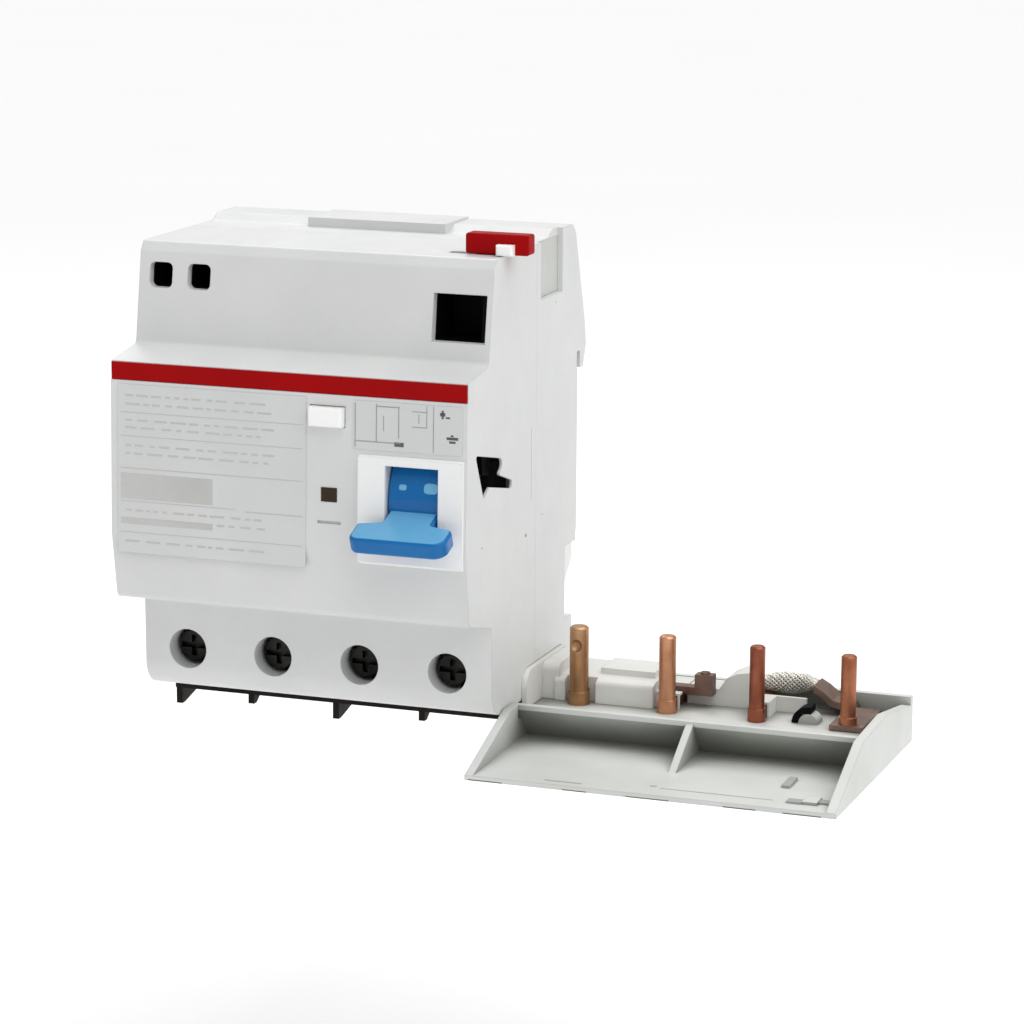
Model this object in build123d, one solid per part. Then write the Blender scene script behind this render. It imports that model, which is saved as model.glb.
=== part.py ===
from build123d import *
import math
import os

os.makedirs("parts", exist_ok=True)

# A four-pole residual current add-on block for a DIN rail. Units are millimetres.
# Origin: centre of the rail seat at the back of the block, on the rail's centre line.
# +X to the right as seen from the front, +Y towards the rail, +Z up.
# The block stands left of the breaker that it protects; the tray on its right carries
# four copper pins that go up into the breaker's lower terminals.

# ---- driving dimensions -------------------------------------------------------------
MODULE = 17.5                      # width of one pole
POLES = 4
HALF = MODULE * POLES / 2          # half the block's width
WALL = 1.8                         # housing wall
NOSE_Y = -60.0                     # top edge of the nose's front face
NOSE_TOP = 22.5                    # the nose is 45 mm high
SHOULDER_Y = -47.0                 # front face of the lower shoulder
TOP_Z = 43.0
BOTTOM_Z = -42.5
SEAM_Y = -23.5                     # where the front and the rear shell meet
INNER = HALF - WALL                # half the width inside
FIT = 0.05                         # radial clearance of a running fit
GAP = 0.3                          # clearance between a moving piece and its neighbour

POLE_X = [MODULE * (i - (POLES - 1) / 2) for i in range(POLES)]
PIN_X = [HALF + MODULE * (i + 0.5) for i in range(POLES)]

# posts that take the screws of the two shells
POST_R = 2.2
POST_PLACES = [(-14.0, 37.2), (14.0, 37.2), (-32.1, -27.0), (32.1, -27.0)]

# toggle
TOGGLE_X = 24.8
PIVOT_Y = -50.0
PIVOT_Z = 0.0
TOGGLE_REST = 20.0                 # degrees below level, the off position
ARM_HALF = 4.8
PADDLE_HALF = 9.2
ARM_TIP = 20.3
ARM_THICK = 3.3
DRUM_R = 10.4
PIVOT_R = 1.2

# coupling lever and latch pivots
COUPLING_Y = -48.0
COUPLING_Z = 14.0
LATCH_X = 23.0
LATCH_Y = -49.0

# test button
BUTTON_X = 8.15
BUTTON_Z = 15.1
BUTTON_W = 6.6
BUTTON_H = 3.6

# load terminals, one in each pole
SCREW_Z = -34.2
SCREW_HEAD_R = 3.3
SCREW_R = 2.45
TUNNEL_R = 3.8
HEAD_FRONT = -44.2
BAR_FRONT = -31.5                  # front face of the copper bar inside the cage

# summation transformer
CORE_X = -6.55
CORE_Z = 4.0
CORE_R_OUT = 15.0
CORE_R_IN = 9.0
CORE_FRONT = -38.5
CORE_BACK = -28.5
COIL_BUILD = 1.5                   # thickness of the winding on the core

# line conductors, square copper
WIRE = 2.2
LANE_Y = [-18.9, -16.4, -13.2, -10.0]
LANE_Z = -39.3                     # height of the lanes inside the block
LANE_STEP_X = 37.2                 # where the lanes step up from the tray's shelf
RISE_X = [-12.5, -8.75, -4.35, -4.35]
HOLE_X = [-8.75, -8.75, -4.35, -4.35]
HOLE_Z = [6.2, 1.8, 1.8, 6.2]
FRONT_Y = -43.0                    # where the conductors come down in front of the core

# tray and copper pins
TRAY_LEFT = HALF + 0.3
TRAY_RIGHT = 104.6
LIP_Y = -62.0
TRAY_BOTTOM = -49.6
RIM_Y = -37.8
RIM_TOP = -41.5
RECESS_BACK = -33.2                # foot of the undercut wall behind the apron
SHELF_TOP = -44.2
APRON_TOP = -48.1                  # upper face of the apron where it meets the recess wall
TRAY_BACK = -7.0
CLIP_BOSS_X = 88.4                 # round boss on the shelf that the black strap bends over
PIN_Y = -23.0
PIN_TOP = [-29.1, -29.4, -29.8, -30.0]
PIN_R = [1.8, 1.6, 1.45, 1.45]
PIN_FOOT = 0.25                    # how much wider a pin's foot is
FOOT_TOP = -41.7
FOOT_Z = -42.9                     # centre of the conductors' ends at the pins' feet

# rail clips
CLIP_X = [-25.0, 25.0]
CLIP_HALF = 7.5

# red locking slide
LOCK_LEFT = 27.2
LOCK_RIGHT = 39.4
LOCK_TRAVEL = 5.0


# ---- helpers ------------------------------------------------------------------------
def block(x0, x1, y0, y1, z0, z1):
    """Box between two corners."""
    size = (abs(x1 - x0), abs(y1 - y0), abs(z1 - z0))
    return Pos((x0 + x1) / 2, (y0 + y1) / 2, (z0 + z1) / 2) * Box(*size)


def side_shape(outline, x0, x1):
    """Extrude an outline of (y, z) points from x0 to x1."""
    face = make_face(Polyline(*outline, close=True))
    return extrude(Plane.YZ.offset(x0) * face, amount=x1 - x0)


def rounded_side_shape(corners, x0, x1):
    """Extrude an outline of (y, z, corner radius) points from x0 to x1."""
    points = [(y, z) for y, z, radius in corners]
    radii = [radius for y, z, radius in corners]
    face = make_face(FilletPolyline(*points, radius=radii, close=True))
    return extrude(Plane.YZ.offset(x0) * face, amount=x1 - x0)


def rod_x(radius, x0, x1, y, z):
    """Round rod along X."""
    return Pos((x0 + x1) / 2, y, z) * Rot(0, 90, 0) * Cylinder(radius, x1 - x0)


def rod_y(radius, y0, y1, x, z):
    """Round rod along Y."""
    return Pos(x, (y0 + y1) / 2, z) * Rot(90, 0, 0) * Cylinder(radius, y1 - y0)


def rod_z(radius, z0, z1, x, y):
    """Round rod along Z."""
    return Pos(x, y, (z0 + z1) / 2) * Cylinder(radius, z1 - z0)


def bar_route(points, width):
    """Square bar along a route whose runs are parallel to the axes."""
    half = width / 2
    runs = []
    for start, end in zip(points, points[1:]):
        low = [min(a, b) - half for a, b in zip(start, end)]
        high = [max(a, b) + half for a, b in zip(start, end)]
        runs.append(block(low[0], high[0], low[1], high[1], low[2], high[2]))
    bar = runs[0]
    for run in runs[1:]:
        bar = bar + run
    return bar


def coil_spring(radius, wire, turns, length):
    """Compression spring standing on the origin along +Z."""
    path = Helix(pitch=length / turns, height=length, radius=radius)
    section = Plane(path @ 0, z_dir=path % 0) * Circle(wire)
    return sweep(section, path=path)


def save(shape, name):
    """Write one sub-part."""
    export_step(shape, "parts/" + name + ".step")


# ---- housing ------------------------------------------------------------------------
def nose_y(z):
    """Front face of the nose, which leans forward a little towards its lower edge."""
    return NOSE_Y - 0.9 * (NOSE_TOP - z) / 32


def housing_outside():
    """Outside of the whole block, before the shells are parted."""
    corners = [
        (NOSE_Y, NOSE_TOP, 0.6),
        (nose_y(-9.5), -9.5, 9.0),
        (-58.9, -22.1, 1.6),
        (-47.2, -24.9, 0.8),
        (SHOULDER_Y, BOTTOM_Z, 5.5),
        (-9.0, BOTTOM_Z, 0.4),
        (-6.5, -40.0, 0.4),
        (-6.5, -17.8, 0.3),
        (-0.3, -17.8, 0.1),
        (-0.3, -15.7, 0.1),
        (0, -15.7, 0.1),
        (0, 15.7, 0.1),
        (-0.3, 15.7, 0.1),
        (-0.3, 19.2, 0.2),
        (1.4, 19.2, 0.2),
        (1.4, 15.9, 0.2),
        (3.2, 15.9, 0.7),
        (5.0, 20.0, 2.5),
        (4.0, 25.0, 6.0),
        (-1.6, 42.6, 1.2),
        (-3.4, TOP_Z + 1.3, 0.8),
        (-12.0, TOP_Z + 1.3, 0.4),
        (-14.5, TOP_Z, 0.4),
        (-45.3, TOP_Z, 0.8),
        (-46.6, 41.2, 0.8),
        (-49.3, 24.2, 1.0),
    ]
    return rounded_side_shape(corners, -HALF, HALF)


def housing_inside():
    """The hollow inside both shells."""
    outline = [
        (-58.2, 20.8), (-58.2, -12.0), (-56.4, -20.4), (-45.2, -23.2), (-45.2, -37.5),
        (-41.9, -40.7), (-8.5, -40.7), (-8.5, -16.0), (-2.1, -16.0), (-2.1, 24.0),
        (-4.2, 41.2), (-44.9, 41.2), (-47.5, 22.6),
    ]
    return side_shape(outline, -INNER, INNER)


def coupling_window():
    """Stepped opening in the right wall, for the breaker's trip lever."""
    corners = [
        (-55.9, 8.9, 0.5), (-39.4, 5.4, 1.2), (-44.1, 3.3, 0.4), (-36.6, 0.9, 0.5),
        (-37.0, -0.6, 0.5), (-48.6, 1.8, 0.4), (-51.7, 0.2, 0.4),
    ]
    return rounded_side_shape(corners, INNER - 1, HALF + 1)


def coupling_recess():
    """Thinned patch inside the right wall, round the coupling window."""
    return block(INNER - 1, HALF - 0.5, -57.4, -35.0, -2.4, 10.6)


def conductor_window():
    """Opening at the foot of the right wall, where the line conductors come in."""
    corners = [(-31.0, -45.0, 0.5), (-31.0, -36.8, 3.5), (-7.9, -36.8, 1.0), (-7.9, -45.0, 0.5)]
    return rounded_side_shape(corners, INNER - 1, HALF + 1)


def front_cuts():
    """Openings in the front shell's front faces."""
    window = block(TOGGLE_X - 5.1, TOGGLE_X + 5.1, -70, -55, -7.2, 7.0)
    button = block(BUTTON_X - BUTTON_W / 2 - 0.15, BUTTON_X + BUTTON_W / 2 + 0.15, -70, -55,
                   BUTTON_Z - BUTTON_H / 2 - 0.15, BUTTON_Z + BUTTON_H / 2 + 0.15)
    lens = block(6.95, 10.05, -70, -55, -0.55, 2.05)
    slit = block(6.3, 10.8, -62, nose_y(-4.3) + 0.4, -4.6, -4.1)
    stripe = block(-HALF - 1, HALF + 1, -62, NOSE_Y + 0.35, 19.1, NOSE_TOP + 1)
    cuts = window + button + lens + slit + stripe
    for x in (-30.6, -22.9):
        hole = fillet((Pos(x, -46, 36.9) * Box(4.6, 12, 4.7)).edges().filter_by(Axis.Y), 1.1)
        cuts = cuts + hole
    cuts = cuts + block(23.7, 34.0, -52, -44, 27.9, 36.6)
    for x in POLE_X:
        cuts = cuts + rod_y(TUNNEL_R, -50, -40, x, SCREW_Z)
    return cuts


def wire_entries():
    """Openings in the bottom wall, one below each load terminal."""
    cuts = block(POLE_X[0] - 5.2, POLE_X[0] + 5.2, -32.3, -22.3, -44, -40)
    for x in POLE_X[1:]:
        cuts = cuts + block(x - 5.2, x + 5.2, -32.3, -22.3, -44, -40)
    return cuts


def front_housing(outside, inside):
    """Front shell: nose, both shoulders and the openings in them."""
    shell = (outside - inside) & block(-HALF - 1, HALF + 1, -80, SEAM_Y, -60, 60)
    for x in POLE_X:
        shell = shell + rod_y(TUNNEL_R + 1.2, -45.4, -41.3, x, SCREW_Z)
    shell = shell - front_cuts() - coupling_window() - coupling_recess()
    shell = shell - conductor_window() - wire_entries()
    for x, z in POST_PLACES:
        shell = shell + rod_y(POST_R, -45.4, SEAM_Y, x, z) - rod_y(1.0, -33.0, -20, x, z)
    return shell


def toggle_surround(outside):
    """Raised plate round the toggle's window, on the nose's front face."""
    outline = [(nose_y(9) - 0.9, 8.4), (nose_y(9) + 1, 9.0), (nose_y(-12) + 1, -11.8),
               (nose_y(-11) - 0.9, -10.8)]
    plate = side_shape(outline, TOGGLE_X - 10.4, HALF - 0.4)
    return plate - outside - front_cuts()


def rear_housing(outside, inside):
    """Rear shell: rail seat, hook and the guides of the rail clips."""
    shell = (outside - inside) & block(-HALF - 1, HALF + 1, SEAM_Y, 20, -60, 60)
    shell = shell + block(-14, 14, -16.5, -4, TOP_Z - 0.5, TOP_Z + 1.75)
    groove = block(HALF - 1.0, HALF + 1, -21.3, -9.2, 32.2, 50)
    shell = shell - groove - conductor_window() - wire_entries()
    for x in CLIP_X:
        for side in (-1, 1):
            edge = x + side * (CLIP_HALF + GAP)
            lip = x + side * (CLIP_HALF - 1.2)
            shell = shell + block(edge, edge + side * 1.6, -6.8, -0.6, -41.4, -32.6)
            shell = shell + block(lip, edge + side * 0.2, -1.9, -0.6, -41.4, -32.6)
        shell = shell + block(x - 1.2, x + 1.2, -6.8, -3.4, -40.0, -39.0)
    for x, z in POST_PLACES:
        back = -3.0 if z > 0 else -8.0
        shell = shell + rod_y(POST_R, SEAM_Y, back, x, z)
        shell = shell - rod_y(1.0, SEAM_Y - 1, -10, x, z) - rod_y(1.7, -16.4, 3, x, z)
    return shell


def housing_screws():
    """Four screws that hold the shells together, entered from the back."""
    screws = []
    for x, z in POST_PLACES:
        head = rod_y(1.6, -16.4, -14.6, x, z) - block(x - 0.25, x + 0.25, -15.4, -14, z - 2, z + 2)
        screws.append(head + rod_y(1.0, -32.0, -16.4, x, z))
    return screws


def red_stripe():
    """Coloured strip let into the top edge of the nose."""
    strip = block(-HALF + 0.1, HALF - 0.1, NOSE_Y - 0.2, NOSE_Y + 0.35, 19.15, NOSE_TOP - 0.1)
    return chamfer(strip.faces().sort_by(Axis.Y)[0].edges(), 0.15)


def nose_film(x0, x1, z0, z1):
    """Printed film that lies on the nose's front face."""
    outline = [(nose_y(z1), z1), (nose_y(z1) - 0.18, z1), (nose_y(z0) - 0.18, z0), (nose_y(z0), z0)]
    return side_shape(outline, x0, x1)


# ---- toggle and trip mechanism ------------------------------------------------------
def toggle_lever():
    """Blue reset toggle, drawn level and then turned down to its off position."""
    plan = [
        (-ARM_HALF, 0), (-ARM_HALF, 13.7), (-PADDLE_HALF, 14.6), (-PADDLE_HALF, ARM_TIP),
        (PADDLE_HALF, ARM_TIP), (PADDLE_HALF, 14.6), (ARM_HALF, 13.7), (ARM_HALF, 0),
    ]
    radii = [0.1, 0.6, 0.8, 1.8, 2.6, 1.4, 0.6, 0.1]
    face = make_face(FilletPolyline(*[(x, -y) for x, y in plan], radius=radii, close=True))
    arm = Pos(0, 0, 0.6) * extrude(face, amount=ARM_THICK / 2, both=True)
    front = arm.faces().sort_by(Axis.Y)[0]
    arm = fillet(front.edges().filter_by(Axis.X), 0.7)
    sector = [(0, 0)]
    for step in range(31):
        angle = math.radians(-75 + 5 * step)
        sector.append((-DRUM_R * math.cos(angle), DRUM_R * math.sin(angle)))
    drum = side_shape(sector, -ARM_HALF, ARM_HALF) + rod_x(3.6, -ARM_HALF, ARM_HALF, 0, 0)
    lever = arm + drum - rod_x(PIVOT_R + FIT, -20, 20, 0, 0)
    return Pos(TOGGLE_X, PIVOT_Y, PIVOT_Z) * Rot(TOGGLE_REST, 0, 0) * lever


def mechanism_frame():
    """Folded steel frame that carries the toggle, the coupling lever and the latch."""
    left = block(18.2, 19.0, -56.0, -44.8, -16.4, 9.5)
    right = block(30.3, 31.0, -56.0, -44.8, -16.4, 17.0)
    floor = block(18.2, 31.0, -56.0, -44.8, -16.4, -15.6)
    back = block(18.2, 31.0, -45.6, -44.8, -16.4, 4.0)
    slot = block(17.0, 20.0, -55.9, -50.5, -15.0, -11.8)
    frame = left + right + floor + back - slot
    frame = frame - rod_x(PIVOT_R, 15, 33, PIVOT_Y, PIVOT_Z)
    frame = frame - rod_x(1.0, 29, 33, COUPLING_Y, COUPLING_Z)
    return frame - rod_z(0.8, -17, -15, LATCH_X, LATCH_Y)


def coupling_lever():
    """Black lever whose finger stands behind the coupling window."""
    outline = [(-50.2, 15.6), (-50.4, 12.0), (-46.4, 6.4), (-46.2, 3.4), (-42.6, 2.8),
               (-43.4, 7.0), (-46.0, 12.0), (-46.0, 16.0)]
    lever = side_shape(outline, 31.3, 32.7)
    lever = lever + rod_x(2.4, 31.3, 32.7, COUPLING_Y, COUPLING_Z)
    return lever - rod_x(1.0 + FIT, 30, 34, COUPLING_Y, COUPLING_Z)


def trip_latch():
    """Small latch turned by the relay's plunger."""
    hub = rod_z(2.3, -14.4, -12.6, LATCH_X, LATCH_Y)
    tail = block(19.3, 20.5, -54.8, -48.6, -14.4, -12.6)
    link = block(19.4, LATCH_X, -50.2, -47.9, -14.4, -12.6)
    nose = block(LATCH_X, 28.0, -49.9, -48.1, -14.4, -12.6)
    return hub + tail + link + nose - rod_z(0.8 + FIT, -17, -10, LATCH_X, LATCH_Y)


def relay_case():
    """Polarised release relay, with a bore for its plunger."""
    case = block(1.5, 14.6, -56.0, -46.5, -19.5, -7.5)
    case = chamfer(case.edges().filter_by(Axis.X), 0.8)
    return case - rod_x(1.0 + FIT, 8.0, 16.0, -54.0, -13.5)


def relay_plunger():
    """Plunger that pushes the latch's tail with its tapered tip."""
    plunger = rod_x(1.0, 10.0, 19.2, -54.0, -13.5)
    return chamfer(plunger.faces().sort_by(Axis.X)[-1].edges(), 0.6)


def mechanism_pins():
    """Three pivot pins fixed in the frame: toggle, coupling lever and latch."""
    toggle = rod_x(PIVOT_R, 15.8, 31.2, PIVOT_Y, PIVOT_Z)
    coupling = rod_x(1.0, 30.3, 33.0, COUPLING_Y, COUPLING_Z)
    latch = rod_z(0.8, -16.4, -11.6, LATCH_X, LATCH_Y)
    return Compound(children=[toggle, coupling, latch])


def toggle_spring():
    """Torsion spring round the toggle's pivot, beside its hub."""
    coil = rod_x(2.6, 16.2, 18.0, PIVOT_Y, PIVOT_Z) - rod_x(1.7, 16, 18.2, PIVOT_Y, PIVOT_Z)
    leg = block(16.8, 17.4, PIVOT_Y - 0.3, PIVOT_Y + 0.3, 2.2, 9.0)
    return coil + leg


# ---- test circuit -------------------------------------------------------------------
def test_button():
    """Test button with a flange inside the nose and a stem for its spring."""
    x0, x1 = BUTTON_X - BUTTON_W / 2, BUTTON_X + BUTTON_W / 2
    z0, z1 = BUTTON_Z - BUTTON_H / 2, BUTTON_Z + BUTTON_H / 2
    cap = block(x0, x1, nose_y(BUTTON_Z) - 1.7, -58.0, z0, z1)
    cap = fillet(cap.faces().sort_by(Axis.Y)[0].edges(), 0.5)
    flange = block(x0 - 0.8, x1 + 0.8, -58.0, -57.1, z0 - 0.8, z1 + 0.8)
    stem = rod_y(1.0, -57.1, -53.9, BUTTON_X, BUTTON_Z)
    return cap + flange + stem


def test_spring():
    """Return spring between the button's flange and the circuit board."""
    spring = coil_spring(1.7, 0.22, 4, 4.4)
    return Pos(BUTTON_X, -52.35, BUTTON_Z) * Rot(90, 0, 0) * spring


def circuit_board():
    """Circuit board of the test and tripping circuit."""
    board = block(-31.0, 14.0, -52.0, -50.4, -4.0, 20.0)
    for x in (-28.5, 1.5):
        board = board - rod_y(1.3, -53, -50, x, -1.0)
    return board


def board_capacitors():
    """Suppression and timing capacitors on the board."""
    film = block(-27.0, -19.0, -57.4, -52.0, 8.0, 16.0)
    can = rod_y(3.0, -57.2, -52.0, -13.0, 14.0)
    return Compound(children=[chamfer(film.edges(), 0.4), can])


def board_diodes():
    """Row of four rectifier diodes lying on the board."""
    return Compound(children=[rod_x(1.2, -8.0, -3.0, -53.2, 3.5 + 3.4 * i) for i in range(4)])


def test_resistor():
    """Resistor that makes the test current."""
    return rod_x(1.6, -26.0, -16.0, -53.6, 3.0)


def test_contact():
    """Spring blade that the button's stem closes."""
    foot = block(11.2, 13.2, -53.0, -52.0, 9.6, 12.2)
    blade = block(10.6, 11.2, -53.0, -52.0, 9.6, 13.0)
    return foot + blade


def indicator_lens():
    """Dark lens of the trip indicator."""
    plug = block(7.0, 10.0, nose_y(0.6) - 0.1, -58.0, -0.5, 2.0)
    return plug + block(6.3, 11.2, -58.1, -57.2, -1.8, 3.0)


# ---- summation transformer ----------------------------------------------------------
def toroid_core():
    """Magnetic ring round the four line conductors."""
    outer = rod_y(CORE_R_OUT, CORE_FRONT, CORE_BACK, CORE_X, CORE_Z)
    return outer - rod_y(CORE_R_IN, CORE_FRONT - 1, CORE_BACK + 1, CORE_X, CORE_Z)


def toroid_winding():
    """Secondary winding: two lapped halves wound round the core."""
    outer = rod_y(CORE_R_OUT + COIL_BUILD, CORE_FRONT - COIL_BUILD, CORE_BACK + COIL_BUILD,
                  CORE_X, CORE_Z)
    bore = rod_y(CORE_R_IN - COIL_BUILD, CORE_FRONT - 5, CORE_BACK + 5, CORE_X, CORE_Z)
    core = (rod_y(CORE_R_OUT + FIT, CORE_FRONT - FIT, CORE_BACK + FIT, CORE_X, CORE_Z)
            - rod_y(CORE_R_IN - FIT, CORE_FRONT - 1, CORE_BACK + 1, CORE_X, CORE_Z))
    ends = block(CORE_X - 2.5, CORE_X + 2.5, -50, -20, CORE_Z - 20, CORE_Z + 20)
    return outer - bore - core - ends


def chassis_plate():
    """Moulded plate that holds the transformer and parts the front from the rear."""
    plate = block(-INNER + 0.2, INNER - 0.2, -26.6, -25.2, -24.5, 32.5)
    plate = plate - block(CORE_X - 5.5, CORE_X + 5.5, -28, -24, CORE_Z - 5.5, CORE_Z + 5.5)
    rim = rod_y(CORE_R_OUT + COIL_BUILD + 1.6, -33.0, -26.6, CORE_X, CORE_Z)
    rim = rim - rod_y(CORE_R_OUT + COIL_BUILD + 0.3, -34.0, -26.6, CORE_X, CORE_Z)
    return plate + rim


# ---- conductors ---------------------------------------------------------------------
def line_conductor(i, x_start):
    """Square copper conductor from the tray to the top of its load bar."""
    route = [
        (x_start, LANE_Y[i], FOOT_Z),
        (LANE_STEP_X, LANE_Y[i], FOOT_Z),
        (LANE_STEP_X, LANE_Y[i], LANE_Z),
        (RISE_X[i], LANE_Y[i], LANE_Z),
        (RISE_X[i], LANE_Y[i], HOLE_Z[i]),
    ]
    if RISE_X[i] != HOLE_X[i]:
        route.append((HOLE_X[i], LANE_Y[i], HOLE_Z[i]))
    route.append((HOLE_X[i], FRONT_Y, HOLE_Z[i]))
    if abs(POLE_X[i] - HOLE_X[i]) > 0.01:
        route.append((POLE_X[i], FRONT_Y, HOLE_Z[i]))
    route.append((POLE_X[i], FRONT_Y, -21.0))
    route.append((POLE_X[i], BAR_FRONT - WIRE / 2, -21.0))
    if i == 3:
        return bar_route(route, WIRE)
    foot = [
        (x_start, LANE_Y[i], FOOT_Z),
        (x_start, PIN_Y + PIN_R[i] + PIN_FOOT + WIRE / 2, FOOT_Z),
    ]
    return bar_route(route, WIRE) + bar_route(foot, WIRE)


def load_bar(i):
    """Flat copper bar that the cage clamps the load wire against."""
    x = POLE_X[i]
    return block(x - 3.5, x + 3.5, BAR_FRONT, BAR_FRONT + 1.5, -38.6, -19.8)


def copper_pin(i):
    """Round pin that goes up into the breaker's lower terminal."""
    pin = rod_z(PIN_R[i], FOOT_TOP, PIN_TOP[i], PIN_X[i], PIN_Y)
    pin = chamfer(pin.faces().sort_by(Axis.Z)[-1].edges(), 0.35)
    pin = pin + rod_z(PIN_R[i] + PIN_FOOT, -47.6, FOOT_TOP, PIN_X[i], PIN_Y)
    if i == 0:
        pin = pin - Pos(PIN_X[0], PIN_Y - PIN_R[0] - 0.5, -32.6) * Sphere(1.3)
    return pin


def cranked_link():
    """Bent copper strip from the foot of the fourth pin up to the flexible link."""
    outline = [(94.8, -44.1), (94.8, -43.1), (93.4, -41.7), (91.2, -41.2), (89.2, -39.6),
               (87.4, -38.6), (87.4, -40.2), (88.8, -40.8), (90.6, -42.4), (92.8, -42.9),
               (93.2, -44.1)]
    face = make_face(Polyline(*outline, close=True))
    strip = extrude(Plane.XZ.offset(14.8) * face, amount=-5.9)
    foot = block(93.2, 99.6, -24.9, -11.0, -44.1, -43.1)
    return strip + foot - rod_z(PIN_R[3] + PIN_FOOT, -50, -40, PIN_X[3], PIN_Y)


def flexible_link():
    """Braided link between the cranked strip and the fourth conductor."""
    outline = [(76.4, -41.7), (76.4, -38.6), (78.6, -37.8), (81.0, -37.4), (84.8, -37.6),
               (87.4, -38.6), (87.4, -40.2), (85.0, -41.3), (82.6, -42.0), (78.4, -42.0),
               (78.4, -41.7)]
    face = make_face(Polyline(*outline, close=True))
    return extrude(Plane.XZ.offset(11.9) * face, amount=-3.0)


def link_clip():
    """Black strap bent over a boss on the shelf, beside the cranked link."""
    ring = rod_y(3.2, -22.0, -18.6, CLIP_BOSS_X, SHELF_TOP) - rod_y(2.1, -23, -18, CLIP_BOSS_X, SHELF_TOP)
    return ring & block(CLIP_BOSS_X - 4, CLIP_BOSS_X + 0.5, -23, -18, SHELF_TOP + 0.1, -40)


def voltage_tap():
    """Screwed block on the end of the second conductor, feeding the test circuit."""
    y = LANE_Y[1] - 0.5
    bar = block(60.4, 68.6, y - 1.2, y + 1.2, FOOT_Z + WIRE / 2, -40.3)
    cube = block(65.1, 68.6, y - 1.2, y + 1.2, -40.3, -37.8)
    screw = rod_z(0.9, -37.8, -37.4, 66.85, y) - block(65, 69, y - 0.2, y + 0.2, -37.6, -36)
    return bar + cube + screw


# ---- load terminals -----------------------------------------------------------------
def terminal_screw(i):
    """Clamping screw with a slotted head, held in its tunnel."""
    x = POLE_X[i]
    head = rod_y(SCREW_HEAD_R, HEAD_FRONT, HEAD_FRONT + 2.5, x, SCREW_Z)
    head = chamfer(head.faces().sort_by(Axis.Y)[0].edges(), 0.4)
    shank = rod_y(SCREW_R, HEAD_FRONT + 2.5, BAR_FRONT - 0.1, x, SCREW_Z)
    slot = block(x - 2.6, x + 2.6, HEAD_FRONT - 1, HEAD_FRONT + 1.3, SCREW_Z - 0.5, SCREW_Z + 0.5)
    cross = block(x - 0.5, x + 0.5, HEAD_FRONT - 1, HEAD_FRONT + 1.3, SCREW_Z - 2.0, SCREW_Z + 2.0)
    return head + shank - slot - cross


def terminal_cage(i):
    """Lift cage that the screw draws forward to clamp the wire."""
    x = POLE_X[i]
    cage = block(x - 6.3, x + 6.3, -36.2, -22.5, SCREW_Z - 4.5, SCREW_Z + 4.5)
    cage = chamfer(cage.edges().filter_by(Axis.Z), 0.8)
    cage = cage - block(x - 4.8, x + 4.8, -33.7, -24.5, SCREW_Z - 6, SCREW_Z + 6)
    return cage - rod_y(SCREW_R + FIT, -40, -30, x, SCREW_Z)


def terminal_base():
    """Dark insulating plate under the block, with wire guides and barrier fins."""
    plate = block(-33.2, HALF - 0.2, -38.0, -20.0, -44.6, BOTTOM_Z)
    for x in POLE_X:
        plate = plate + block(x - 5.0, x + 5.0, -32.1, -22.5, BOTTOM_Z, -40.2)
    for x, deep, back in ((-32.6, 3.2, 15), (-17.5, 1.9, 4), (0, 3.2, 15), (17.5, 1.9, 4)):
        outline = [(-37.6, -44.6), (-37.6, -44.6 - deep), (-36.4, -44.6 - deep), (-37.6 + back, -44.6)]
        plate = plate + side_shape(outline, x - 0.6, x + 0.6)
    for x in POLE_X:
        plate = plate - block(x - 4.0, x + 4.0, -31.1, -23.5, -50, -38)
        guide = Pos(x, -27.3, -44.6) * Box(9.4, 9.0, 1.2)
        plate = plate - guide
    return plate


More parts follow.
